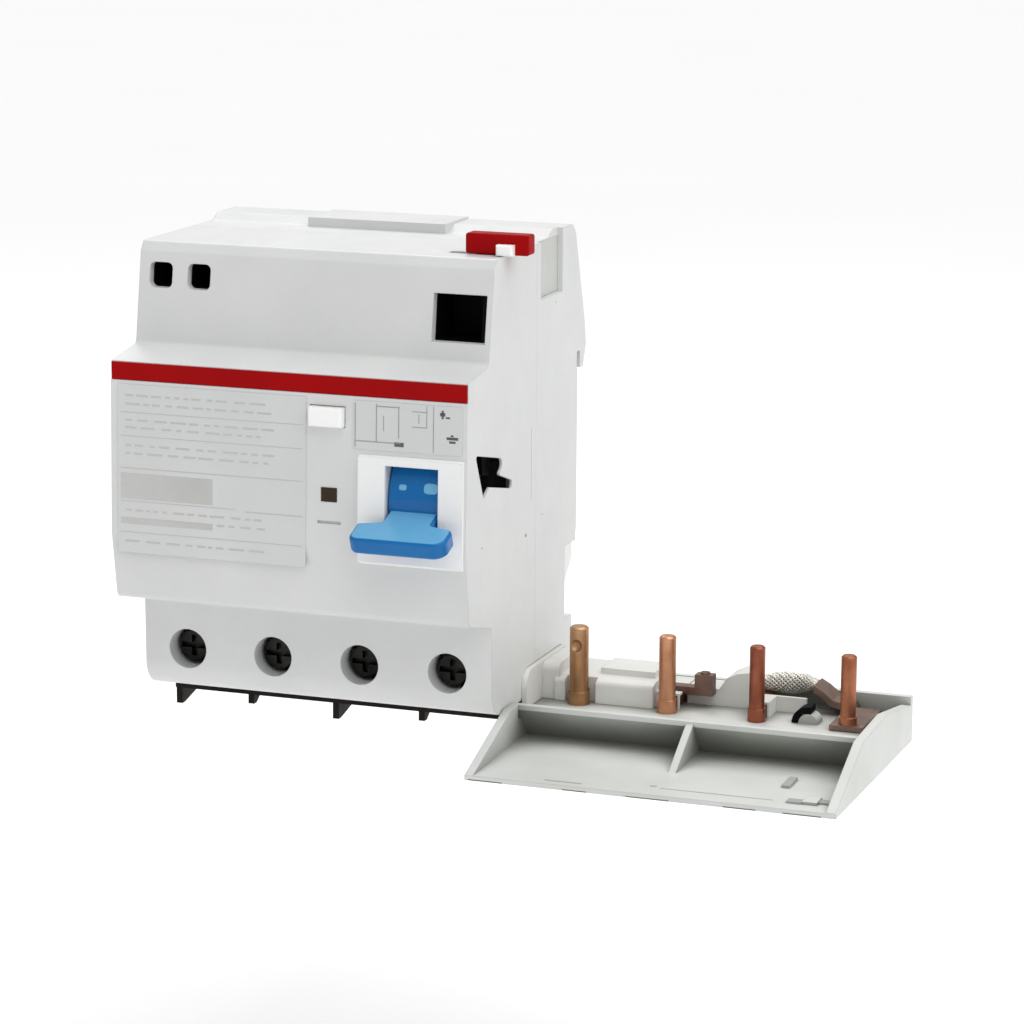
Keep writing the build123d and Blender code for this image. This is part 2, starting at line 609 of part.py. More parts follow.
# ---- tray ---------------------------------------------------------------------------
def tray_body():
    """Moulded tray under the breaker: sloping apron, shelf, rim and end walls."""
    x0, x1 = TRAY_LEFT, TRAY_RIGHT
    apron = side_shape([(LIP_Y, TRAY_BOTTOM), (LIP_Y, TRAY_BOTTOM + 0.9), (-32.6, APRON_TOP),
                        (-32.6, TRAY_BOTTOM)], x0, x1)
    rim = side_shape([(RIM_Y, RIM_TOP), (RIM_Y, RIM_TOP - 0.9), (RECESS_BACK, APRON_TOP - 0.2),
                      (RECESS_BACK, TRAY_BOTTOM), (-31.6, TRAY_BOTTOM), (-31.6, SHELF_TOP),
                      (-35.0, SHELF_TOP), (RIM_Y + 1.5, -42.9), (RIM_Y + 1.5, RIM_TOP)], x0, x1)
    shelf = block(x0, x1, -34.0, TRAY_BACK, SHELF_TOP - 1.5, SHELF_TOP)
    back = block(x0 + 2, x1, TRAY_BACK - 1.5, TRAY_BACK, TRAY_BOTTOM, -40.8)
    tray = apron + rim + shelf + back
    right_end = [(LIP_Y, TRAY_BOTTOM), (LIP_Y, TRAY_BOTTOM + 1.0), (-43.6, -40.4), (-27.0, -39.6),
                 (TRAY_BACK, -42.6), (TRAY_BACK, TRAY_BOTTOM)]
    tray = tray + side_shape(right_end, x1 - 1.8, x1)
    left_end = [(LIP_Y, TRAY_BOTTOM), (LIP_Y, TRAY_BOTTOM + 0.9), (-41.5, RIM_TOP), (RIM_Y, RIM_TOP),
                (RIM_Y, TRAY_BOTTOM)]
    tray = tray + side_shape(left_end, x0, x0 + 1.6)
    tray = tray + side_shape([(RIM_Y + 0.2, RIM_TOP - 0.3), (-33.4, -48.6), (-49.0, -48.8)], 69.6, 71.0)
    tray = tray + block(x0, x0 + 1.6, RIM_Y, TRAY_BACK, TRAY_BOTTOM, SHELF_TOP)
    tray = tray + block(20.0, x0 + 0.5, -19.6, TRAY_BACK - 1, SHELF_TOP - 0.6, BOTTOM_Z - 0.1)
    boss = rod_y(1.9, -22.0, -18.6, CLIP_BOSS_X, SHELF_TOP)
    tray = tray + (boss & block(x0, x1, -30, -10, SHELF_TOP - 1, -40))
    for i in range(POLES):
        tray = tray + rod_z(3.2, -47.8, SHELF_TOP - 0.5, PIN_X[i], PIN_Y)
        tray = tray - rod_z(PIN_R[i] + PIN_FOOT, -47.7, -40, PIN_X[i], PIN_Y)
    for x in (24.0, 31.0):
        tray = tray - rod_z(1.3, -46, -42, x, -14.0)
    return tray


def tray_bottom_cover():
    """Plate that closes the tray's underside."""
    return block(TRAY_LEFT + 1.7, TRAY_RIGHT - 1.9, -31.5, TRAY_BACK - 1.6,
                 TRAY_BOTTOM, TRAY_BOTTOM + 1.3)


def tray_screws():
    """Two screws that hold the tray's tongue under the block."""
    screws = []
    for x in (24.0, 31.0):
        head = rod_z(2.2, -45.9, SHELF_TOP - 0.6, x, -14.0)
        screws.append(head + rod_z(1.2, SHELF_TOP - 0.7, BOTTOM_Z, x, -14.0))
    return screws


def conductor_cover():
    """White cover over the conductors beside the block: a hood at the wall, then a low roof."""
    back = TRAY_BACK - 1.6
    roof = rounded_side_shape([(-22.2, SHELF_TOP, 0.1), (-22.2, -40.0, 0.9), (-20.2, -39.4, 0.9),
                               (back, -38.9, 0.4), (back, SHELF_TOP, 0.1)], 38.6, 58.2)
    roof = roof + block(46.5, 57.2, -18.0, -9.6, -39.6, -38.2)
    low = block(58.2, 62.6, -18.6, back, SHELF_TOP, -40.9)
    low = low - block(58.0, 63.0, -19.0, -14.7, -42.0, -38.0)
    hood = rounded_side_shape([(-21.6, SHELF_TOP, 0.1), (-21.6, -37.2, 1.5), (back, -37.2, 0.4),
                               (back, SHELF_TOP, 0.1)], TRAY_LEFT + 0.3, 39.4)
    flange = rounded_side_shape([(-30.8, -42.2, 0.1), (-30.8, -36.95, 3.35), (-8.1, -36.95, 0.85),
                                 (-8.1, -42.2, 0.1)], 34.0, 36.0)
    skirt = block(HALF + 0.05, 36.0, -30.8, back, SHELF_TOP + 0.1, -42.0)
    lane_top = FOOT_Z + WIRE / 2 + 0.15
    cap = block(58.0, PIN_X[1] + 1.65, -20.5, -18.4, SHELF_TOP, lane_top + 0.45)
    cover = roof + low + hood + flange + skirt + cap
    cover = cover - block(TRAY_LEFT, 63.0, -20.1, TRAY_BACK, SHELF_TOP - 1, lane_top)
    cover = cover - block(33.0, 38.6, -20.1, TRAY_BACK, SHELF_TOP - 1, LANE_Z + WIRE / 2 + 0.15)
    cover = cover - block(PIN_X[0] - 3.0, PIN_X[0] + 3.0, -26, -20.5, -45, -35)
    for x in PIN_X[:2]:
        cover = cover - block(x - 1.25, x + 1.25, -21.5, -18.0, SHELF_TOP - 1, lane_top)
    return cover


def link_cover():
    """Smaller white cover over the third and fourth conductors."""
    back = TRAY_BACK - 1.6
    outline = [(69.2, SHELF_TOP), (69.2, -40.9), (70.6, -38.7), (72.7, -37.7), (75.0, -37.3),
               (76.0, -37.5), (76.0, SHELF_TOP)]
    face = make_face(Polyline(*outline, close=True))
    hump = extrude(Plane.XZ.offset(15.4) * face, amount=-(15.4 + back))
    roof = block(62.9, 69.4, -15.4, back, SHELF_TOP, -40.9)
    wall = block(75.8, 86.2, -15.4, -14.6, SHELF_TOP, -41.2)
    lane_top = FOOT_Z + WIRE / 2 + 0.15
    cap = block(PIN_X[2] - 1.65, PIN_X[2] + 1.65, -20.5, -15.0, SHELF_TOP, lane_top + 0.45)
    lanes = block(62.0, 77.0, -14.6, TRAY_BACK, SHELF_TOP - 1, lane_top)
    foot = block(PIN_X[2] - 1.25, PIN_X[2] + 1.25, -21.5, -14, SHELF_TOP - 1, lane_top)
    return hump + roof + wall + cap - lanes - foot


# ---- rail clips ---------------------------------------------------------------------
def rail_clip(x):
    """Spring-loaded clip whose lip goes behind the lower edge of the rail."""
    outline = [(-6.2, -18.4), (1.4, -18.4), (1.4, -15.9), (2.6, -15.9), (4.7, -19.6), (4.7, -22.6),
               (0.4, -26.6), (-2.2, -28.4), (-2.2, -44.0), (-6.2, -44.0)]
    clip = side_shape(outline, x - CLIP_HALF, x + CLIP_HALF)
    slot = block(x - 3.0, x + 3.0, -8, 0, -43.4, -42.4)
    pocket = block(x - 1.6, x + 1.6, -7, -2.9, -40.2, -31.2)
    return clip - slot - pocket


def clip_spring(x):
    """Compression spring between the rear shell's lug and the upper end of the clip's pocket."""
    return Pos(x, -4.7, -38.7) * coil_spring(1.0, 0.22, 7, 7.2)


# ---- red lock -----------------------------------------------------------------------
def lock_slide():
    """Red slide on top of the block that reaches over the breaker's edge."""
    body = block(LOCK_LEFT, LOCK_RIGHT, -40.6, -37.4, TOP_Z + 0.15, TOP_Z + 3.9)
    body = fillet(body.edges().filter_by(Axis.Y), 0.5)
    body = chamfer(body.faces().sort_by(Axis.Y)[0].edges(), 0.2)
    foot = block(29.0, 31.6, -40.0, -38.0, TOP_Z - 3.2, TOP_Z + 0.4)
    flange = block(28.4, 32.2, -40.6, -37.4, TOP_Z - 3.2, TOP_Z - 2.1)
    return body + foot + flange


def lock_peg():
    """White peg in the face of the slide, which the thumb pushes."""
    peg = Pos(35.2, -41.5, TOP_Z + 1.15) * Box(3.2, 1.8, 2.0)
    return fillet(peg.faces().sort_by(Axis.Y)[0].edges(), 0.45)


def lock_slot():
    """Slot in the top wall that guides the slide's foot."""
    return block(29.0 - LOCK_TRAVEL - GAP, 31.6 + GAP, -40.0 - 0.15, -38.0 + 0.15, 40, 50)


# ---- small liners -------------------------------------------------------------------
def auxiliary_liner():
    """Black pocket behind the rectangular window of the upper shoulder."""
    outer = block(22.9, 33.1, -47.3, -36.0, 27.1, 37.4)
    outer = outer & side_shape([(-47.1, 25.0), (-45.3, 38.0), (-30, 38.0), (-30, 25.0)], 20, 36)
    return outer - block(23.7, 33.1 - 0.5, -50, -37.0, 27.9, 36.6)


def pilot_socket(x):
    """Black socket behind one of the two small holes of the upper shoulder."""
    outer = block(x - 3.0, x + 3.0, -46.0, -36.0, 34.2, 39.8)
    outer = outer & side_shape([(-46.4, 30.0), (-44.9, 40.5), (-30, 40.5), (-30, 30.0)], -33.1, 0)
    return outer - block(x - 2.2, x + 2.2, -50, -38.0, 34.7, 39.2)


# ---- build --------------------------------------------------------------------------
outside = housing_outside()
inside = housing_inside()

save(front_housing(outside, inside) - lock_slot(), "front_housing")
save(rear_housing(outside, inside), "rear_housing")
save(Compound(children=housing_screws() + tray_screws()), "fixing_screws")
save(toggle_surround(outside), "toggle_surround")
save(red_stripe(), "red_stripe")
save(nose_film(-33.6, 4.0, -13.0, 18.4), "rating_label")
save(nose_film(13.2, 34.2, 9.6, 18.4), "diagram_label")

save(toggle_lever(), "toggle_lever")
save(mechanism_pins(), "mechanism_pins")
save(toggle_spring(), "toggle_spring")
save(mechanism_frame(), "mechanism_frame")
save(coupling_lever(), "coupling_lever")
save(trip_latch(), "trip_latch")
save(relay_case(), "relay_case")
save(relay_plunger(), "relay_plunger")

save(test_button(), "test_button")
save(test_spring(), "test_spring")
save(test_contact(), "test_contact")
save(test_resistor(), "test_resistor")
save(circuit_board(), "circuit_board")
save(board_capacitors(), "board_capacitors")
save(board_diodes(), "board_diodes")
save(indicator_lens(), "indicator_lens")

save(toroid_core(), "toroid_core")
save(toroid_winding(), "toroid_winding")
save(chassis_plate(), "chassis_plate")

LANE_START = [PIN_X[0], PIN_X[1], PIN_X[2], 78.4 - WIRE / 2]
for i in range(POLES):
    pole = str(i + 1)
    save(line_conductor(i, LANE_START[i]), "line_conductor_" + pole)
    save(copper_pin(i), "breaker_pin_" + pole)
    save(terminal_screw(i), "terminal_screw_" + pole)
    save(terminal_cage(i), "terminal_cage_" + pole)

save(Compound(children=[load_bar(i) for i in range(POLES)]), "load_bars")
save(cranked_link(), "cranked_link")
save(flexible_link(), "flexible_link")
save(link_clip(), "link_clip")
save(voltage_tap(), "voltage_tap")
save(terminal_base(), "terminal_base")
save(tray_body(), "tray_body")
save(tray_bottom_cover(), "tray_bottom_cover")
save(conductor_cover(), "conductor_cover")
save(link_cover(), "link_cover")

for x, side in zip(CLIP_X, ("left", "right")):
    save(rail_clip(x), "rail_clip_" + side)
    save(clip_spring(x), "clip_spring_" + side)

save(lock_slide(), "lock_slide")
save(lock_peg(), "lock_peg")
save(auxiliary_liner(), "auxiliary_liner")
save(Compound(children=[pilot_socket(-30.6), pilot_socket(-22.9)]), "pilot_sockets")
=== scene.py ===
import math
import random

import bpy
from mathutils import Matrix, Vector


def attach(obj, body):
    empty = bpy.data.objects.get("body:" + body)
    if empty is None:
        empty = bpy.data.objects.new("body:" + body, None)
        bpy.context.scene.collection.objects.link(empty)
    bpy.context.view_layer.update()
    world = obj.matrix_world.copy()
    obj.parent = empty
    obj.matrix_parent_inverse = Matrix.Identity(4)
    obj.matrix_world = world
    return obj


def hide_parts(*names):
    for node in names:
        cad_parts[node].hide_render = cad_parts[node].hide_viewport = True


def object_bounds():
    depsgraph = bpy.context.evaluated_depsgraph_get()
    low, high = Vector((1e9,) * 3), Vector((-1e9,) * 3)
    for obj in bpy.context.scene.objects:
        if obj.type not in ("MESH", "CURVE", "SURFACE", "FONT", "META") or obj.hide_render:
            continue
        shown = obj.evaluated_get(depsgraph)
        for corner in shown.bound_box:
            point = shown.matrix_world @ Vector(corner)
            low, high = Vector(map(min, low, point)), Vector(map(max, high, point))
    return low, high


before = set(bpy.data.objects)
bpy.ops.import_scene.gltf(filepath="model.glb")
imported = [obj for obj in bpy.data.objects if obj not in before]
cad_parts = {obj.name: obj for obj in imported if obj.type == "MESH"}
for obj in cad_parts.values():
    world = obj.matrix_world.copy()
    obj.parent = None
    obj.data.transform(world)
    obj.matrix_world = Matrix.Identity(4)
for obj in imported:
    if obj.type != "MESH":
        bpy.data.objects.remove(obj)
cad_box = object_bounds()

# Pieces are shaped in millimetres and scaled by MM. Camera, lights, materials and floor are in metres.
MM = 0.001
scene = bpy.context.scene
rng = random.Random(7)


# ---- camera, light and floor --------------------------------------------------------
AZIMUTH, ELEVATION, ROLL = 19.9, 12.0, 0.3
CAMERA_AT = Vector((0.26255, -0.66515, 0.13695))
FOCAL_MM = 130.08

azimuth, elevation, roll = (math.radians(v) for v in (AZIMUTH, ELEVATION, ROLL))
ahead = Vector((-math.sin(azimuth) * math.cos(elevation), math.cos(azimuth) * math.cos(elevation),
                -math.sin(elevation)))
level = Vector((math.cos(azimuth), math.sin(azimuth), 0))
upward = level.cross(ahead)
right = level * math.cos(roll) + upward * math.sin(roll)
up = upward * math.cos(roll) - level * math.sin(roll)
camera = bpy.data.objects.new("camera", bpy.data.cameras.new("camera"))
scene.collection.objects.link(camera)
facing = Matrix((right, up, -ahead)).transposed().to_4x4()
camera.matrix_world = Matrix.Translation(CAMERA_AT) @ facing
camera.data.sensor_width = 36
camera.data.lens = FOCAL_MM
camera.data.clip_start = 0.05
camera.data.clip_end = 20
scene.camera = camera

scene.view_settings.view_transform = "Standard"
scene.view_settings.look = "None"

SUN_POWER, SUN_SPREAD_DEG, SUN_FROM = 1.66, 70, (0.48, -0.20, 0.86)
BOX_AT, BOX_AIM, BOX_SIZE, BOX_WATTS = (-0.25, 0.45, 0.60), (0.02, -0.05, 0), (0.40, 0.30), 2.0
WORLD_STRENGTH = 0.56


def area_light(name, at, aim, size, watts):
    """Soft rectangular light that points at aim."""
    lamp = bpy.data.lights.new(name, "AREA")
    lamp.shape = "RECTANGLE"
    lamp.size, lamp.size_y = size
    lamp.energy = watts
    holder = bpy.data.objects.new(name, lamp)
    scene.collection.objects.link(holder)
    holder.location = at
    holder.rotation_euler = (Vector(aim) - Vector(at)).to_track_quat("-Z", "Y").to_euler()


sun = bpy.data.lights.new("sun", "SUN")
sun.energy = SUN_POWER
sun.angle = math.radians(SUN_SPREAD_DEG)
sun_holder = bpy.data.objects.new("sun", sun)
scene.collection.objects.link(sun_holder)
sun_holder.rotation_euler = Vector(SUN_FROM).to_track_quat("Z", "Y").to_euler()
area_light("back_box", BOX_AT, BOX_AIM, BOX_SIZE, BOX_WATTS)

world = bpy.data.worlds.new("studio")
scene.world = world
world.use_nodes = True
backdrop = world.node_tree.nodes["Background"]
backdrop.inputs["Color"].default_value = (1, 1, 1, 1)
backdrop.inputs["Strength"].default_value = WORLD_STRENGTH


# ---- materials ----------------------------------------------------------------------
class Shader:
    """One material's node tree, with short calls for the nodes that the finishes share."""

    def __init__(self, name):
        self.material = bpy.data.materials.new(name)
        self.material.use_nodes = True
        self.tree = self.material.node_tree
        self.bsdf = self.tree.nodes["Principled BSDF"]
        self.coords = self.tree.nodes.new("ShaderNodeTexCoord").outputs["Object"]

    def node(self, kind, **inputs):
        made = self.tree.nodes.new(kind)
        for key, value in inputs.items():
            socket = made.inputs[key.replace("_", " ")]
            if isinstance(value, bpy.types.NodeSocket):
                self.tree.links.new(value, socket)
            else:
                socket.default_value = value
        return made

    def noise(self, scale, detail=2.0, rough=0.5, stretch=None):
        """Noise over the object's own coordinates. Scale is in features per metre."""
        vector = self.coords
        if stretch:
            moved = self.node("ShaderNodeMapping", Vector=vector, Scale=stretch)
            vector = moved.outputs["Vector"]
        made = self.node("ShaderNodeTexNoise", Vector=vector, Scale=scale, Detail=detail, Roughness=rough)
        return made.outputs["Fac"]

    def spread(self, value, low, high, start=0.3, end=0.7):
        """Map a 0-1 value onto low..high."""
        made = self.tree.nodes.new("ShaderNodeMapRange")
        for key, number in (("From Min", start), ("From Max", end), ("To Min", low), ("To Max", high)):
            made.inputs[key].default_value = number
        self.tree.links.new(value, made.inputs["Value"])
        return made.outputs["Result"]

    def blend(self, factor, first, second):
        """Mix two colours, or a colour socket and a colour."""
        made = self.tree.nodes.new("ShaderNodeMix")
        made.data_type = "RGBA"
        for key, value in (("Factor", factor), ("A", first), ("B", second)):
            socket = next(s for s in made.inputs if s.name == key and s.enabled)
            if isinstance(value, bpy.types.NodeSocket):
                self.tree.links.new(value, socket)
            elif key == "Factor":
                socket.default_value = value
            else:
                socket.default_value = (*value, 1)
        return next(s for s in made.outputs if s.enabled)

    def link(self, value, socket):
        self.tree.links.new(value, self.bsdf.inputs[socket])

    def bump(self, height, strength, distance, normal):
        made = self.tree.nodes.new("ShaderNodeBump")
        made.inputs["Strength"].default_value = strength
        made.inputs["Distance"].default_value = distance
        self.tree.links.new(height, made.inputs["Height"])
        self.tree.links.new(normal, made.inputs["Normal"])
        return made.outputs["Normal"]

    def round_edges(self, radius):
        made = self.tree.nodes.new("ShaderNodeBevel")
        made.samples = 4
        made.inputs["Radius"].default_value = radius
        return made.outputs["Normal"]


PLASTIC_CLOUDS, PLASTIC_SPECKS, PLASTIC_SMUDGES = 70, 900, 260
SPECK_TONE, COAT_ROUGHNESS = 0.82, 0.12
METAL_SMUDGES, LINE_DEPTH = 240, 0.00004


def plastic(name, colour, shade, rough=0.4, grain=1500, depth=0.00001, edge=0.0003, coat=0.0,
            specular=0.35, painted_shade=None, painted_highlight=None):
    """Moulded plastic: faint cloudy colour, fine spark-eroded grain and softened edges.

    The shade pair is (reach, darkest): painted shade in corners and recesses, darker the more closed in
    the surface is.
    The highlight pair is (direction, pale): a painted highlight, a paler colour where the surface faces
    that way, on the object's own axes.
    """
    s = Shader(name)
    cloud = s.spread(s.noise(PLASTIC_CLOUDS, 3), 0.0, 1.0)
    tint = s.blend(cloud, colour, shade)
    speck = s.spread(s.noise(PLASTIC_SPECKS, 2), 0.0, 0.10, 0.55, 0.75)
    paint = s.blend(speck, tint, tuple(SPECK_TONE * v for v in colour))
    # Painted highlight: a paler colour on surfaces facing the given way, standing in for the reflection
    # of the lights.
    if painted_highlight:
        direction, pale = painted_highlight
        own_normal = s.tree.nodes["Texture Coordinate"].outputs["Normal"]
        facing = s.node("ShaderNodeVectorMath", Vector=own_normal)
        facing.operation = "DOT_PRODUCT"
        facing.inputs[1].default_value = direction
        paint = s.blend(s.spread(facing.outputs["Value"], 0.0, 1.0, 0.88, 0.985), paint, pale)
    # Painted shade: ambient occlusion darkens corners and recesses towards darkest.
    if painted_shade:
        reach, darkest = painted_shade
        corner = s.node("ShaderNodeAmbientOcclusion", Distance=reach)
        corner.samples = 8
        shade_mix = s.spread(corner.outputs["AO"], 1.0, 0.0, 0.35, 0.80)
        paint = s.blend(shade_mix, paint, tuple(darkest * v for v in (0.98, 1.0, 0.90)))
    s.link(paint, "Base Color")
    s.link(s.spread(s.noise(PLASTIC_SMUDGES, 4), rough - 0.06, rough + 0.08), "Roughness")
    grainy = s.noise(grain, 2, 0.6)
    s.link(s.bump(grainy, 0.35, depth, s.round_edges(edge)), "Normal")
    s.bsdf.inputs["Coat Weight"].default_value = coat
    s.bsdf.inputs["Coat Roughness"].default_value = COAT_ROUGHNESS
    s.bsdf.inputs["Specular IOR Level"].default_value = specular
    return s.material


def metal(name, colour, stain, rough=0.3, grain=(60, 60, 900), edge=0.0002, stains=90):
    """Worked metal: drawing lines, uneven tarnish and slightly worn edges."""
    s = Shader(name)
    patches = s.spread(s.noise(stains, 5, 0.6), 0.0, 1.0, 0.38, 0.62)
    s.link(s.blend(patches, colour, stain), "Base Color")
    s.bsdf.inputs["Metallic"].default_value = 1.0
    s.link(s.spread(s.noise(METAL_SMUDGES, 4), rough - 0.08, rough + 0.16), "Roughness")
    lines = s.noise(1.0, 3, 0.6, grain)
    s.link(s.bump(lines, 0.30, LINE_DEPTH, s.round_edges(edge)), "Normal")
    return s.material


housing_white = plastic("housing_white", (0.70, 0.71, 0.70), (0.66, 0.67, 0.665), 0.42)
surround_white = plastic("surround_white", (0.91, 0.91, 0.90), (0.88, 0.88, 0.87), 0.35)
# The tray gets painted shade in its corners and recesses.
tray_white = plastic("tray_white", (0.68, 0.69, 0.67), (0.60, 0.62, 0.58), 0.45, painted_shade=(0.010, 0.22))
cover_white = plastic("cover_white", (0.72, 0.72, 0.69), (0.64, 0.64, 0.61), 0.45)
clip_white = plastic("clip_white", (0.86, 0.86, 0.85), (0.80, 0.80, 0.79), 0.45)
inner_grey = plastic("inner_grey", (0.36, 0.37, 0.37), (0.31, 0.32, 0.32), 0.5)
button_white = plastic("button_white", (0.97, 0.97, 0.96), (0.94, 0.94, 0.93), 0.3)
stripe_red = plastic("stripe_red", (0.36, 0.002, 0.003), (0.32, 0.002, 0.003), 0.45, specular=0.06)
# The paddle's upward faces carry a painted highlight in paler blue, standing in for the lights'
# reflection on its top.
toggle_blue = plastic("toggle_blue", (0.002, 0.145, 0.42), (0.002, 0.125, 0.37), 0.30, edge=0.0004,
                      coat=0.5, specular=0.05, painted_highlight=((0.0, -0.342, 0.940), (0.13, 0.40, 0.66)))
mark_blue = plastic("mark_blue", (0.20, 0.50, 0.72), (0.15, 0.44, 0.66), 0.4, specular=0.1)
liner_black = plastic("liner_black", (0.003, 0.003, 0.003), (0.005, 0.005, 0.005), 0.55, specular=0.06)
base_brown = plastic("base_brown", (0.010, 0.008, 0.007), (0.018, 0.014, 0.012), 0.5, specular=0.08)
lens_brown = plastic("lens_brown", (0.020, 0.012, 0.006), (0.040, 0.024, 0.012), 0.2, coat=0.15,
                     specular=0.1)
film_grey = plastic("film_grey", (0.65, 0.66, 0.655), (0.62, 0.63, 0.625), 0.35, depth=0.000004,
                    edge=0.00005)
ink_pale = plastic("ink_pale", (0.50, 0.50, 0.485), (0.56, 0.56, 0.545), 0.5, edge=0.00002)
ink_grey = plastic("ink_grey", (0.30, 0.30, 0.29), (0.42, 0.42, 0.41), 0.5, edge=0.00002)
ink_dark = plastic("ink_dark", (0.09, 0.08, 0.075), (0.16, 0.15, 0.14), 0.5, edge=0.00002)
groove_painted_shade = plastic("groove_painted_shade", (0.58, 0.59, 0.56), (0.52, 0.53, 0.50), 0.5)
board_green = plastic("board_green", (0.02, 0.12, 0.05), (0.03, 0.16, 0.07), 0.35)
part_amber = plastic("part_amber", (0.42, 0.20, 0.05), (0.34, 0.15, 0.04), 0.35)
ferrite = plastic("ferrite", (0.05, 0.05, 0.055), (0.07, 0.07, 0.075), 0.6)
zinc = metal("zinc", (0.56, 0.57, 0.58), (0.46, 0.47, 0.49), 0.32)
zinc_dark = metal("zinc_dark", (0.10, 0.095, 0.09), (0.04, 0.04, 0.04), 0.35)
# The terminal screws' near-black colour is painted shade of the deep terminal holes they sit in.
screw_painted_shade = metal("screw_painted_shade", (0.030, 0.029, 0.027), (0.012, 0.012, 0.012), 0.35)
spring_wire = metal("spring_wire", (0.40, 0.41, 0.43), (0.30, 0.31, 0.33), 0.28)
copper_bright = metal("copper_bright", (0.66, 0.34, 0.20), (0.44, 0.18, 0.10), 0.32)
copper_tan = metal("copper_tan", (0.56, 0.34, 0.19), (0.38, 0.20, 0.10), 0.36)
copper_red = metal("copper_red", (0.40, 0.13, 0.08), (0.26, 0.08, 0.045), 0.38)
copper_end = metal("copper_end", (0.52, 0.22, 0.12), (0.34, 0.12, 0.065), 0.36)
copper_dull = metal("copper_dull", (0.40, 0.20, 0.13), (0.26, 0.13, 0.09), 0.42)
link_brown = metal("link_brown", (0.30, 0.21, 0.17), (0.17, 0.12, 0.10), 0.5)
tap_brown = metal("tap_brown", (0.24, 0.15, 0.12), (0.12, 0.08, 0.065), 0.4)
winding = metal("winding", (0.45, 0.16, 0.05), (0.32, 0.10, 0.03), 0.35, (900, 60, 900))
tinned = metal("tinned", (0.80, 0.78, 0.72), (0.46, 0.44, 0.39), 0.38, (300, 300, 300))
braid_shade = metal("braid_shade", (0.20, 0.18, 0.16), (0.12, 0.11, 0.10), 0.55)

finishes = {
    "front_housing": housing_white, "rear_housing": housing_white, "fixing_screws": zinc,
    "red_stripe": stripe_red, "toggle_surround": surround_white, "link_clip": liner_black,
    "rating_label": film_grey, "diagram_label": film_grey,
    "toggle_lever": toggle_blue, "mechanism_pins": zinc, "toggle_spring": spring_wire,
    "mechanism_frame": zinc_dark, "coupling_lever": liner_black, "trip_latch": zinc,
    "relay_case": inner_grey, "relay_plunger": zinc, "test_button": button_white,
    "test_spring": spring_wire, "test_contact": spring_wire, "test_resistor": part_amber,
    "circuit_board": board_green, "board_capacitors": part_amber, "board_diodes": liner_black,
    "indicator_lens": lens_brown, "toroid_core": ferrite, "toroid_winding": winding,
    "chassis_plate": inner_grey, "load_bars": copper_dull, "cranked_link": link_brown,
    "flexible_link": tinned, "voltage_tap": tap_brown, "terminal_base": base_brown,
    "tray_body": tray_white, "tray_bottom_cover": tray_white,
    "conductor_cover": cover_white, "link_cover": cover_white,
    "rail_clip_left": clip_white, "rail_clip_right": clip_white,
    "clip_spring_left": spring_wire, "clip_spring_right": spring_wire,
    "lock_slide": stripe_red, "lock_peg": button_white,
    "auxiliary_liner": liner_black, "pilot_sockets": liner_black,
    "breaker_pin_1": copper_tan, "breaker_pin_2": copper_bright,
    "breaker_pin_3": copper_red, "breaker_pin_4": copper_end,
}
for pole in range(1, 5):
    finishes[f"line_conductor_{pole}"] = copper_dull
    finishes[f"terminal_screw_{pole}"] = screw_painted_shade
    finishes[f"terminal_cage_{pole}"] = zinc

for node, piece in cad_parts.items():
    piece.data.materials.clear()
    piece.data.materials.append(finishes[node])


# ---- printed marks and small details ------------------------------------------------
NOSE_TOP_Y, NOSE_TOP_Z = -60.0, 22.5
NOSE_LEAN, NOSE_LEAN_HEIGHT = 0.9, 32


def nose_y(z):
    """Front face of the nose, which leans forward towards its foot."""
    return NOSE_TOP_Y - NOSE_LEAN * (NOSE_TOP_Z - z) / NOSE_LEAN_HEIGHT


def build_mesh(name, corners, faces, finish, smooth=False):
    """Object from corners in millimetres, with its finish."""
    mesh = bpy.data.meshes.new(name)
    mesh.from_pydata([tuple(v * MM for v in c) for c in corners], [], faces)
    mesh.update()
    if smooth:
        for face in mesh.polygons:
            face.use_smooth = True
    piece = bpy.data.objects.new(name, mesh)
    scene.collection.objects.link(piece)
    mesh.materials.append(finish)
    return piece


BOX_FACES = [(0, 1, 3, 2), (4, 6, 7, 5), (0, 4, 5, 1), (2, 3, 7, 6), (0, 2, 6, 4), (1, 5, 7, 3)]


def add_box(corners, faces, x, y, z):
    """Add one box, given as three (low, high) pairs, to a growing mesh."""
    start = len(corners)
    corners.extend((a, b, c) for a in x for b in y for c in z)
    faces.extend(tuple(start + i for i in face) for face in BOX_FACES)


def nose_print(name, bars, finish, lift, thick=0.03):
    """Ink bars on the nose. Each bar is (x0, x1, z0, z1), and lift is the film's thickness."""
    corners, faces = [], []
    for x0, x1, z0, z1 in bars:
        front = nose_y((z0 + z1) / 2) - lift
        start = len(corners)
        for x in (x0, x1):
            for depth in (thick, 0.0):
                for z in (z0, z1):
                    y = nose_y(z) - lift - depth if abs(z1 - z0) > 0.5 else front - depth
                    corners.append((x, y, z))
        faces.extend(tuple(start + i for i in face) for face in BOX_FACES)
    return build_mesh(name, corners, faces, finish)


